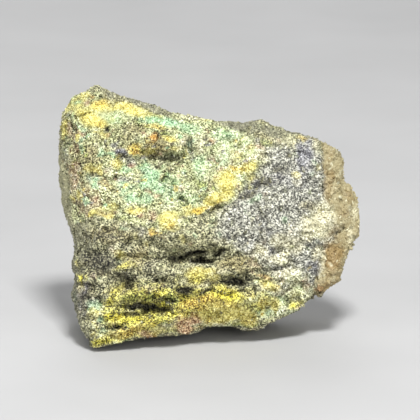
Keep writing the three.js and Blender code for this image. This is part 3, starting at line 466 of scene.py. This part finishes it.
def region_cover(outline, across, up, blur):
    """1 inside a closed outline and 0 outside, over a border of that half width."""
    inside = np.zeros(len(across), dtype=bool)
    nearest = np.full(len(across), 1e9)
    for (ax, ay), (bx, by) in zip(outline, outline[1:] + outline[:1]):
        crosses = (ay > up) != (by > up)
        with np.errstate(divide="ignore", invalid="ignore"):
            inside ^= crosses & (across < (bx - ax) * (up - ay) / (by - ay) + ax)
        length = (bx - ax) ** 2 + (by - ay) ** 2
        share = np.clip(((across - ax) * (bx - ax) + (up - ay) * (by - ay)) / length, 0, 1)
        distance = np.hypot(across - ax - share * (bx - ax), up - ay - share * (by - ay))
        nearest = np.minimum(nearest, distance)
    return smoothstep(np.where(inside, nearest, -nearest), -blur, blur)


def wandering(points, width, reach, seed):
    """Across and up of points, shifted unevenly so that nothing laid out by them has a smooth edge."""
    flat = points * (1, 1, 0)
    across = points[:, 0] + reach * swell(flat, width, seed, octaves=3)
    up = points[:, 1] + reach * swell(flat, width, seed + 20.2, octaves=3)
    return across, up


def hollowed(forms, points):
    """How far forms laid out like the cuts reach in or out at each point, in millimetres."""
    across, up = wandering(points, 1.6, 0.45, seed=21.9)
    reach = np.zeros(len(points))
    for *place, depth in forms:
        along, athwart = around(place, across, up)
        reach = np.maximum(reach, depth * (1 - smoothstep(0.9 * along**2 + np.abs(athwart), 0.6, 1.15)))
    return reach


def chipped(points, width, seed):
    """How far chips of that width stand out at each point, from -1 to 1, with a step at their edges."""
    rng = np.random.default_rng(seed)
    low = points.min(axis=0)
    high = points.max(axis=0)
    count = int(np.prod((high - low) / width))
    middles = rng.uniform(low, high, (count, 3))
    leans = rng.normal(size=(count, 3))
    tree = kdtree.KDTree(count)
    for number, middle in enumerate(middles):
        tree.insert(middle, number)
    tree.balance()
    shifted = points + 0.3 * width * swell(points, width, seed=17.9)[:, None]
    nearest = np.array([tree.find(place)[1] for place in shifted.tolist()])
    return np.clip(((points - middles[nearest]) * leans[nearest]).sum(axis=1) / width, -1, 1)


def looks_out(normals):
    """1 where the surface looks out of the main face, and 0 where it looks away."""
    return smoothstep(normals[:, 2], -0.15, 0.3)


def keep_in_box(places):
    """Points held inside the frame's box."""
    low = np.array(cad_box[0])
    high = np.array(cad_box[1])
    return np.clip(places, low, high)


def ease_to_outline(mesh):
    """Eases the rim of a mesh to the stone's outline, as it is seen square on to the main face."""
    points = to_face(vertex_places(mesh))
    seen = as_seen(points)
    radius = np.hypot(seen[:, 0], seen[:, 1])
    bearing = np.arctan2(seen[:, 1], seen[:, 0])
    step = 2 * math.pi / BEARINGS
    middles = (np.arange(BEARINGS) + 0.5) * step - math.pi
    slot = np.clip(((bearing + math.pi) / step).astype(int), 0, BEARINGS - 1)
    reached = np.zeros(BEARINGS)
    np.maximum.at(reached, slot, radius)
    wanted = np.array([ray_reach(STONE_OUTLINE, middle) for middle in middles]) + GRAIN_LOSS
    ratio = np.interp(bearing, middles, np.clip(wanted / reached, 0.94, 1.07), period=2 * math.pi)
    rim = np.interp(bearing, middles, reached, period=2 * math.pi)
    points[:, :2] *= (1 + (ratio - 1) * smoothstep(radius / rim, 0.7, 0.97))[:, None]
    mesh.vertices.foreach_set("co", keep_in_box(to_scene(points)).ravel())
    mesh.update()


def shape_ledges(mesh):
    """Moves a mesh's surface to its ledges, its narrow cuts and the edge of its crust."""
    points = to_face(vertex_places(mesh))
    seen = as_seen(points)
    normals = vertex_normals(mesh) @ FACE_AXES.T
    front = smoothstep(normals[:, 2], -0.1, 0.35)
    across, up = wandering(seen, 1.7, 0.45, seed=31.9)

    # Ledges, which are boldest in the lower half and missing in places.
    uneven = LEDGES["height"] * LEDGES["wander"] * swell(points, 6.0, seed=11.3)
    bands = (up - LEDGES["climb"] * across + uneven) / LEDGES["height"]
    share = bands - np.floor(bands)
    profile = 0.5 - share + smoothstep(share, 1 - LEDGES["lip"], 1)
    lower = 0.2 + 0.8 * smoothstep(-points[:, 1], 1.0, 6.0)
    patchy = smoothstep(swell(points, 5.0, seed=51.7), -0.35, 0.25)
    quartz = region_cover(TAN_OUTLINE, across, up, 0.8)
    out = LEDGES["proud"] * profile * lower * (0.3 + 0.7 * patchy) * (1 - 0.8 * quartz)

    # The steps at the edges of the crust and the quartz, and chips where the rock is bare.
    out += CRUST_RISE * (region_cover(CRUST_OUTLINE, across, up, 0.4) - 0.5)
    out -= QUARTZ_DROP * quartz
    bare = 1 - 0.55 * region_cover(CRUST_OUTLINE, across, up, 1.0)
    bare *= 1 - spot_cover(SMOOTH_SPOTS, across, up)
    for number, (width, rise) in enumerate(CHIPS):
        out += rise * bare * (1 - 0.6 * quartz) * chipped(points, width, seed=401 + number)

    out += hollowed(KNOBS, seen) - hollowed(CUTS, seen)
    points[:, 2] += out * front
    points[:, :2] += 0.25 * normals[:, :2] * out[:, None] * (1 - front[:, None])
    mesh.vertices.foreach_set("co", keep_in_box(to_scene(points)).ravel())
    mesh.update()


def shape_grain(mesh):
    """Roughens a mesh along its normals; the result is how high each point lies, from about -1 to 1."""
    points = to_face(vertex_places(mesh))
    normals = vertex_normals(mesh) @ FACE_AXES.T
    height = np.zeros(len(points))
    for number, (width, rise) in enumerate(SWELLS):
        height += rise * swell(points, width, seed=7.7 + 13.1 * number)
    lumpy = smoothstep(-points[:, 1], 8.0, 11.0) * smoothstep(normals[:, 2], -0.1, 0.3)
    height += LUMPS["height"] * lumpy * swell(points, LUMPS["width"], seed=61.3)
    pits = swell(points, PITS["width"], seed=91.3, octaves=1)
    height -= PITS["depth"] * smoothstep(-pits, 0.25, 0.45)

    # The grain is faint on the quartz and the smooth spots, and gone where the stone rests.
    across, up = as_seen(points)[:, :2].T
    quartz = region_cover(TAN_OUTLINE, across, up, 0.5) * smoothstep(normals[:, 2], -0.6, 0)
    height *= 1 - 0.6 * quartz
    smooth = spot_cover(SMOOTH_SPOTS, across, up) * looks_out(normals)
    height *= 1 - 0.7 * smooth
    resting = smoothstep(-normals @ FACE_AXES[:, 2], 0.6, 0.9)
    height = height * (1 - resting) - 0.1
    points += normals * height[:, None]
    mesh.vertices.foreach_set("co", keep_in_box(to_scene(points)).ravel())
    mesh.update()
    return np.clip(height / 0.3, -1, 1)


def scattered(points, often, width, seed):
    """Patches of that width, from 0 to 1, that cover that share of the surface."""
    waves = swell(points, width, seed)
    return smoothstep(waves, np.quantile(waves, 1 - often), np.quantile(waves, 1 - often / 5))


def cover_at(points, normals, relief):
    """The cover of each colour at points of the surface, by name, from 0 to 1."""
    across, up = wandering(points, 2.6, 0.6, seed=3.3)
    front = looks_out(normals)
    away = 1 - front
    left = smoothstep(-normals[:, 0], 0.45, 0.75) * (1 - region_cover(CRUST_OUTLINE, across, up, 0.6))
    smooth = 1.3 * spot_cover(SMOOTH_SPOTS, across, up) * front

    cover = {name: spot_cover(spots, across, up) * front for name, spots in SPOTS.items()}
    cover["crust"] = np.maximum(cover["crust"], region_cover(CRUST_OUTLINE, across, up, 1.1) * front)
    cover["tan"] = region_cover(TAN_OUTLINE, across, up, 0.6) * smoothstep(points[:, 2], -9, -4)
    cover["grey"] = region_cover(GREY_OUTLINE, across, up, 1.8) * front
    for number, (name, (often, width)) in enumerate(SCATTER.items()):
        patches = scattered(points, often, width, seed=200.1 + 7.3 * number)
        on = front * (0.4 + 0.6 * cover["crust"]) * (1 - cover["tan"]) * (1 - 0.8 * smooth)
        cover[name] = np.maximum(cover[name], 0.75 * patches * on)

    # The sides that the main face hides are grey, with thin gold and umber stains.
    stains = swell(points, 7.0, seed=71.1, octaves=3)
    cover["gold"] = np.maximum(cover["gold"], away * 0.4 * smoothstep(stains, 0.15, 0.7))
    cover["umber"] = np.maximum(cover["umber"], away * 0.6 * smoothstep(-stains, 0.1, 0.7))
    cover["grey"] = np.maximum(cover["grey"], away * smoothstep(swell(points, 11.0, seed=81.1), -0.2, 0.3))

    # The left flank is grey, paler on its upper part: partly its own pale surface and partly painted light on
    # a side that turns from the lamps. The insides of the cuts get painted shade.
    cover["rim_grey"] = np.maximum(cover["rim_grey"], 0.8 * left)
    cover["rind_and_painted_light"] = left * smoothstep(points[:, 1], -7, 3)
    cover["dark"] = np.maximum(cover["dark"], front * smoothstep(hollowed(CUTS, points), 0.4, 1.3))

    # How far light and dark grains lie apart: little on calm surfaces, most in the lower band.
    calm = np.maximum.reduce([cover["tan"], 0.55 * away, cover["rind_and_painted_light"], 0.6 * cover["rim_grey"], smooth])
    low_band = smoothstep(-points[:, 1] - 0.3 * points[:, 0], 5, 9)
    left_crust = smoothstep(-points[:, 0], 8, 15) * cover["crust"]
    cover["contrast"] = (1 - 0.55 * calm) * (1 + front * np.maximum(0.8 * low_band, 0.2 * left_crust))

    # Painted highlights: small pale glints strewn over the quartz, laid in as cream.
    glints = scattered(points, 0.05, 0.5, seed=291.3) * cover["tan"]
    cover["cream"] = np.maximum(cover["cream"], 0.9 * glints)
    cover["relief"] = relief
    return cover


def set_cover(mesh, cover):
    """Stores values for each vertex under their names, for the material to read."""
    for name, values in cover.items():
        layer = mesh.attributes.new(name, "FLOAT", "POINT")
        layer.data.foreach_set("value", values.astype(np.float32))


class Nodes:
    """Short ways to write a material's nodes."""

    def __init__(self, material):
        material.use_nodes = True
        self.tree = material.node_tree
        self.shader = self.tree.nodes["Principled BSDF"]
        self.place = self.tree.nodes.new("ShaderNodeTexCoord").outputs["Object"]
        self.brushed = self.drawn_out(*BRUSHED)

    def link(self, source, socket):
        if isinstance(source, bpy.types.NodeSocket):
            self.tree.links.new(source, socket)
        else:
            socket.default_value = source

    def drawn_out(self, stretch, turn):
        """Places for a texture that is stretched in a direction on the main face, in degrees."""
        turn = math.radians(turn)
        along = math.cos(turn) * FACE_AXES[0] + math.sin(turn) * FACE_AXES[1]
        frame_of_turn = Matrix((along, np.cross(FACE_AXES[2], along), FACE_AXES[2])).transposed()
        node = self.tree.nodes.new("ShaderNodeMapping")
        node.vector_type = "TEXTURE"
        node.inputs["Rotation"].default_value = frame_of_turn.to_euler()
        node.inputs["Scale"].default_value = (stretch, 1, 1)
        self.link(self.place, node.inputs["Vector"])
        return node.outputs["Vector"]

    def noise(self, width, detail=2.0, lift=0.5, seed=0.0, places=None):
        """Noise whose largest swells are that many millimetres wide."""
        node = self.tree.nodes.new("ShaderNodeTexNoise")
        node.noise_dimensions = "4D"
        node.inputs["W"].default_value = seed
        node.inputs["Scale"].default_value = 1 / (width * MM)
        node.inputs["Detail"].default_value = detail
        node.inputs["Roughness"].default_value = lift
        self.link(places or self.place, node.inputs["Vector"])
        return node.outputs["Fac"]

    def cells(self, width):
        """A random value for each grain of that many millimetres."""
        node = self.tree.nodes.new("ShaderNodeTexVoronoi")
        node.inputs["Scale"].default_value = 1 / (width * MM)
        self.link(self.place, node.inputs["Vector"])
        split = self.tree.nodes.new("ShaderNodeSeparateColor")
        self.link(node.outputs["Color"], split.inputs["Color"])
        return split.outputs["Red"]

    def attribute(self, name):
        node = self.tree.nodes.new("ShaderNodeAttribute")
        node.attribute_name = name
        return node.outputs["Fac"]

    def math(self, operation, a, b, clamp=False):
        node = self.tree.nodes.new("ShaderNodeMath")
        node.operation = operation
        node.use_clamp = clamp
        self.link(a, node.inputs[0])
        self.link(b, node.inputs[1])
        return node.outputs["Value"]

    def swing(self, value, share):
        """How far a value of 0 to 1 lies from its middle, times a share."""
        return self.math("MULTIPLY", self.math("SUBTRACT", value, 0.5), share)

    def ramp(self, value, stops):
        """A colour or grey for each value, from stops of (value, colour)."""
        node = self.tree.nodes.new("ShaderNodeValToRGB")
        points = node.color_ramp.elements
        while len(points) < len(stops):
            points.new(0.5)
        for point, (place, colour) in zip(points, stops):
            point.position = place
            point.color = (*colour, 1)
        self.link(value, node.inputs["Fac"])
        return node.outputs["Color"]

    def mix(self, share, a, b):
        node = self.tree.nodes.new("ShaderNodeMix")
        node.data_type = "RGBA"
        self.link(share, node.inputs["Factor"])
        self.link(a, node.inputs[6])
        self.link(b, node.inputs[7])
        return node.outputs[2]

    def bump(self, height, strength, distance, under=None):
        node = self.tree.nodes.new("ShaderNodeBump")
        node.inputs["Strength"].default_value = strength
        node.inputs["Distance"].default_value = distance * MM
        self.link(height, node.inputs["Height"])
        if under:
            self.link(under, node.inputs["Normal"])
        return node.outputs["Normal"]


def rgb(*values):
    """A linear colour from values of 0 to 255 as they are seen on a screen."""
    shares = [value / 255 for value in values]
    return tuple(share / 12.92 if share < 0.04 else ((share + 0.055) / 1.055) ** 2.4 for share in shares)


# For each colour, from the bottom layer up: its dark, middle and light grains.
PALETTE = [
    ("olive", (46, 46, 28), (140, 139, 102), (222, 219, 178)),
    ("grey", (52, 52, 46), (147, 147, 134), (236, 235, 218)),
    ("tan", (126, 113, 76), (161, 151, 114), (192, 184, 148)),
    ("amber", (104, 82, 42), (144, 122, 76), (176, 156, 108)),
    ("crust", (56, 58, 20), (180, 184, 132), (242, 246, 198)),
    ("moss", (20, 18, 0), (152, 144, 50), (250, 245, 136)),
    ("pale", (122, 130, 84), (219, 231, 182), (252, 255, 222)),
    ("cream", (116, 112, 82), (218, 213, 178), (252, 250, 226)),
    ("umber", (50, 44, 22), (128, 119, 78), (200, 191, 140)),
    ("mauve", (104, 74, 52), (182, 150, 118), (230, 206, 176)),
    ("rust", (112, 70, 40), (228, 182, 130), (252, 232, 192)),
    ("violet", (50, 49, 54), (118, 118, 123), (194, 194, 194)),
    ("green", (46, 56, 20), (130, 144, 66), (212, 222, 134)),
    ("mint", (86, 118, 80), (182, 216, 170), (226, 248, 212)),
    ("teal", (50, 84, 66), (124, 172, 140), (198, 234, 206)),
    ("yellow", (144, 130, 44), (237, 227, 136), (252, 246, 174)),
    ("sulphur", (46, 38, 0), (224, 210, 50), (253, 246, 112)),
    ("gold", (84, 62, 4), (230, 196, 74), (254, 236, 130)),
    ("orange", (100, 66, 14), (200, 152, 66), (236, 200, 120)),
    ("rim_grey", (78, 77, 60), (128, 127, 103), (176, 174, 146)),
    ("rind_and_painted_light", (128, 126, 96), (178, 175, 138), (214, 211, 174)),
    ("dark", (8, 8, 4), (44, 42, 28), (146, 142, 114)),
]


def grain_material(name, tint=None, shade=0.0):
    """Granular mineral in the colours that cover the surface; tint names a value for each crystal."""
    material = bpy.data.materials.new(name)
    nodes = Nodes(material)
    parts = {
        "single": nodes.attribute(tint) if tint else nodes.cells(GRAIN_WIDTH["single"]),
        "fine": nodes.noise(GRAIN_WIDTH["fine"], detail=2, lift=0.65, places=nodes.brushed),
        "patchy": nodes.noise(GRAIN_WIDTH["patchy"], detail=3, lift=0.6, seed=3.1),
    }
    # Painted shade and light: the grain is darker where the surface lies low and lighter where it stands
    # high.
    grain = nodes.math("MULTIPLY", nodes.attribute("relief"), GRAIN_SHARE["relief"])
    for part, value in parts.items():
        grain = nodes.math("ADD", grain, nodes.swing(value, GRAIN_SHARE[part]))
    grain = nodes.math("MULTIPLY", grain, nodes.attribute("contrast"))
    grain = nodes.math("ADD", grain, 0.5 - shade, clamp=True)

    colour = None
    for number, (layer, *tones) in enumerate(PALETTE):
        mineral = nodes.ramp(grain, [(stop, rgb(*tone)) for stop, tone in zip(TONE_STOPS, tones)])
        if colour is None:
            colour = mineral
            continue
        edge = nodes.swing(nodes.noise(EDGES["width"], detail=1, seed=11.7 * number), EDGES["share"])
        cover = nodes.attribute(layer)
        share = nodes.math("SUBTRACT", nodes.math("ADD", cover, edge), 0.22)
        share = nodes.math("MULTIPLY", share, 1.35, clamp=True)
        share = nodes.math("MULTIPLY", share, nodes.math("MULTIPLY", cover, 4.0, clamp=True))
        colour = nodes.mix(share, colour, mineral)
    nodes.link(colour, nodes.shader.inputs["Base Color"])
    gloss = nodes.ramp(grain, [(0.1, (0.8,) * 3), (0.9, (0.36,) * 3)])
    nodes.link(gloss, nodes.shader.inputs["Roughness"])
    nodes.shader.inputs["IOR"].default_value = 1.55
    relief = nodes.bump(nodes.noise(0.2, detail=3, lift=0.7, seed=5.9), 0.6, 0.1)
    relief = nodes.bump(grain, 0.35, 0.08, under=relief)
    nodes.link(relief, nodes.shader.inputs["Normal"])
    return material


def make_stone(source):
    """The finely shaped stone, in place of the frame's faceted one."""
    mesh = evenly_meshed(source.data, VOXEL, SOFTENING)
    ease_to_outline(mesh)
    shape_ledges(mesh)
    relief = shape_grain(mesh)
    points = to_face(vertex_places(mesh))
    normals = vertex_normals(mesh) @ FACE_AXES.T
    set_cover(mesh, cover_at(as_seen(points), normals, relief))
    mesh.materials.clear()
    # The rock is a little darker than its crystals, which paints shade into the gaps between them.
    mesh.materials.append(grain_material("granular_rock", shade=0.05))
    mesh.polygons.foreach_set("use_smooth", np.ones(len(mesh.polygons), dtype=bool))
    stone = bpy.data.objects.new("crusted_stone", mesh)
    bpy.context.scene.collection.objects.link(stone)
    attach(stone, "root")
    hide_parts(NODE)
    return stone


# Crystal shapes with their middle at the origin, growing along Z: corners and triangles.
DIPYRAMID = (
    np.array([(1, 0, 0), (0, 1, 0), (-1, 0, 0), (0, -1, 0), (0, 0, 1.15), (0, 0, -0.8)], dtype=float),
    np.array([(0, 1, 4), (1, 2, 4), (2, 3, 4), (3, 0, 4), (1, 0, 5), (2, 1, 5), (3, 2, 5), (0, 3, 5)]),
)
PRISM = (
    np.array([
        (1, 0, -1), (0, 1, -1), (-1, 0, -1), (0, -1, -1),
        (1, 0, 0.7), (0, 1, 0.7), (-1, 0, 0.7), (0, -1, 0.7), (0, 0, 1.5),
    ], dtype=float),
    np.array([
        (0, 1, 5), (0, 5, 4), (1, 2, 6), (1, 6, 5), (2, 3, 7), (2, 7, 6), (3, 0, 4), (3, 4, 7),
        (4, 5, 8), (5, 6, 8), (6, 7, 8), (7, 4, 8), (2, 1, 0), (3, 2, 0),
    ]),
)


class Ground:
    """The stone's surface as crystals are set on it: its triangles, places, normals and colours."""

    def __init__(self, mesh):
        mesh.calc_loop_triangles()
        triangles = np.empty(len(mesh.loop_triangles) * 3, dtype=np.int64)
        mesh.loop_triangles.foreach_get("vertices", triangles)
        self.triangles = triangles.reshape(-1, 3)
        self.places = vertex_places(mesh)
        self.normals = vertex_normals(mesh)
        a, b, c = (self.places[corner] for corner in self.triangles.T)
        self.areas = np.linalg.norm(np.cross(b - a, c - a), axis=1)
        self.cover = {}
        for layer in mesh.attributes:
            if layer.data_type == "FLOAT" and layer.domain == "POINT":
                values = np.empty(len(mesh.vertices), dtype=np.float32)
                layer.data.foreach_get("value", values)
                self.cover[layer.name] = values

    def strewn(self, rng, count, density):
        """Random places, as thick as density(cover, points, normals) says, and a vertex near each."""
        weights = density(self.cover, to_face(self.places), self.normals @ FACE_AXES.T)
        wanted = np.clip(weights, 0, None)[self.triangles[:, 0]] * self.areas
        chosen = self.triangles[rng.choice(len(self.triangles), size=count, p=wanted / wanted.sum())]
        shares = rng.dirichlet((1, 1, 1), size=count)
        return np.einsum("ij,ijk->ik", shares, self.places[chosen]), chosen[:, 0]


def unit(vectors):
    return vectors / np.linalg.norm(vectors, axis=1, keepdims=True)


def crystals(ground, name, shape, density, count, size, lean, sink, stretch, seed):
    """A joined mesh of crystals strewn over the ground."""
    rng = np.random.default_rng(seed)
    middles, vertex = ground.strewn(rng, count, density)
    along = unit(ground.normals[vertex] + lean * rng.normal(size=(count, 3)))
    side = unit(np.cross(along, rng.normal(size=(count, 3))))
    third = np.cross(along, side)
    least, most = size
    half = (least + (most - least) * rng.random(count) ** 2) * MM / 2
    length = half * rng.uniform(0.8, 1.5, count) * stretch
    middles = middles + along * (length * (1 - 2 * sink))[:, None]
    half_axes = np.stack([
        side * half[:, None],
        third * (half * rng.uniform(0.7, 1, count))[:, None],
        along * length[:, None],
    ], axis=1)
    template, faces = shape
    corners = keep_in_box((middles[:, None] + template @ half_axes).reshape(-1, 3))
    each = len(template)
    faces = (faces + each * np.arange(count)[:, None, None]).reshape(-1, 3)

    mesh = bpy.data.meshes.new(name)
    mesh.from_pydata(corners.tolist(), [], faces.tolist())
    set_cover(mesh, {layer: np.repeat(values[vertex], each) for layer, values in ground.cover.items()})
    set_cover(mesh, {"tint": np.repeat(rng.random(count), each)})
    piece = bpy.data.objects.new(name, mesh)
    bpy.context.scene.collection.objects.link(piece)
    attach(piece, "root")
    return piece


def druse_density(cover, points, normals):
    """Crust crystals: thick where the crust and the yellow or green stains are."""
    stains = ("yellow", "sulphur", "gold", "mint", "green", "orange")
    stained = np.maximum.reduce([cover[name] for name in stains])
    return (0.03 + cover["crust"] + 0.9 * stained) * (1 - 0.95 * cover["dark"]) * (1 - 0.9 * cover["tan"])


def rock_density(cover, points, normals):
    """Grains of the bare rock: uneven over it, thin on the crust and the quartz and under the stone."""
    under = smoothstep(-normals @ FACE_AXES[:, 2], 0.5, 0.8)
    front = 0.25 + 0.75 * smoothstep(normals[:, 2], -0.1, 0.3)
    clumps = 0.35 + 0.65 * smoothstep(swell(points, 3.0, seed=301.3), -0.25, 0.15)
    bare = (1 - 0.65 * cover["crust"]) * (1 - 0.9 * cover["tan"]) * (1 - 0.9 * cover["dark"])
    return front * clumps * bare * (1 - under) * (1 - 0.7 * cover["rim_grey"])


def quartz_density(cover, points, normals):
    """Quartz grains: on the tan rim, and a few in the cream patches."""
    return cover["tan"] + 0.05 * cover["cream"]


# Crystals, piece by piece: name, shape, where they sit, how many, (least, most) width in mm, how unevenly
# they lean, the share that is sunk in, how far they are drawn out, and the seed of their places.
CRYSTALS = [
    ("crust_druse", DIPYRAMID, druse_density, 24000, (0.11, 0.28), 0.45, 0.5, 1.0, 101),
    ("crust_prisms", PRISM, druse_density, 7000, (0.14, 0.32), 0.5, 0.45, 1.0, 102),
    ("crust_needles", PRISM, druse_density, 6500, (0.07, 0.15), 2.0, 0.45, 2.4, 106),
    ("rock_grains", DIPYRAMID, rock_density, 23000, (0.1, 0.25), 0.9, 0.5, 1.0, 103),
    ("rock_needles", PRISM, rock_density, 7000, (0.1, 0.2), 2.5, 0.45, 2.2, 105),
    ("quartz_grains", DIPYRAMID, quartz_density, 1600, (0.3, 0.9), 0.6, 0.7, 1.0, 104),
]
THINNING = 1


def make_floor():
    """A plain pale floor under the stone."""
    reach = 1.5
    mesh = bpy.data.meshes.new("floor")
    mesh.from_pydata(
        [(-reach, -reach, 0), (reach, -reach, 0), (reach, reach, 0), (-reach, reach, 0)], [], [(0, 1, 2, 3)]
    )
    floor = bpy.data.objects.new("floor", mesh)
    bpy.context.scene.collection.objects.link(floor)
    material = bpy.data.materials.new("pale_floor")
    nodes = Nodes(material)
    tone = nodes.ramp(nodes.noise(30, detail=2), [(0.3, (0.42, 0.42, 0.42)), (0.7, (0.45, 0.45, 0.45))])
    nodes.link(tone, nodes.shader.inputs["Base Color"])
    nodes.shader.inputs["Roughness"].default_value = 0.7
    mesh.materials.append(material)


def area_light(name, place, aim, size, power):
    """A square soft light at a place, in metres, aimed at a point."""
    lamp = bpy.data.lights.new(name, "AREA")
    lamp.size = size
    lamp.energy = power
    light = bpy.data.objects.new(name, lamp)
    light.location = place
    light.rotation_mode = "QUATERNION"
    light.rotation_quaternion = (Vector(aim) - Vector(place)).to_track_quat("-Z", "Y")
    bpy.context.scene.collection.objects.link(light)


def make_lights():
    aim = tuple(to_scene(LIGHTS_AIM))
    for name, (place, size, power) in LIGHTS.items():
        area_light(name, place, aim, size, power)
    world = bpy.context.scene.world or bpy.data.worlds.new("world")
    bpy.context.scene.world = world
    world.use_nodes = True
    backdrop = world.node_tree.nodes["Background"]
    backdrop.inputs["Color"].default_value = BACKDROP["colour"]
    backdrop.inputs["Strength"].default_value = BACKDROP["strength"]


def make_camera():
    data = bpy.data.cameras.new("camera")
    data.sensor_width = SENSOR_WIDTH
    data.lens = SENSOR_WIDTH * CAMERA_DISTANCE / VIEW_WIDTH
    data.clip_start = 0.01
    data.clip_end = 10
    camera = bpy.data.objects.new("camera", data)
    bpy.context.scene.collection.objects.link(camera)
    out = Vector(FACE_AXES[2])
    camera.location = Vector(to_scene(VIEW_MIDDLE)) + out * CAMERA_DISTANCE * MM
    camera.rotation_mode = "QUATERNION"
    camera.rotation_quaternion = (-out).to_track_quat("-Z", "Y")
    bpy.context.scene.camera = camera


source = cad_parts[NODE]
FACE_ORIGIN = face_origin(source.data)
stone = make_stone(source)

ground = Ground(stone.data)
druse = grain_material("drusy_crust", tint="tint")
for name, shape, density, count, *form in CRYSTALS:
    piece = crystals(ground, name, shape, density, count // THINNING, *form)
    piece.data.materials.append(druse)

make_floor()
make_lights()
make_camera()
bpy.context.scene.view_settings.view_transform = "Standard"
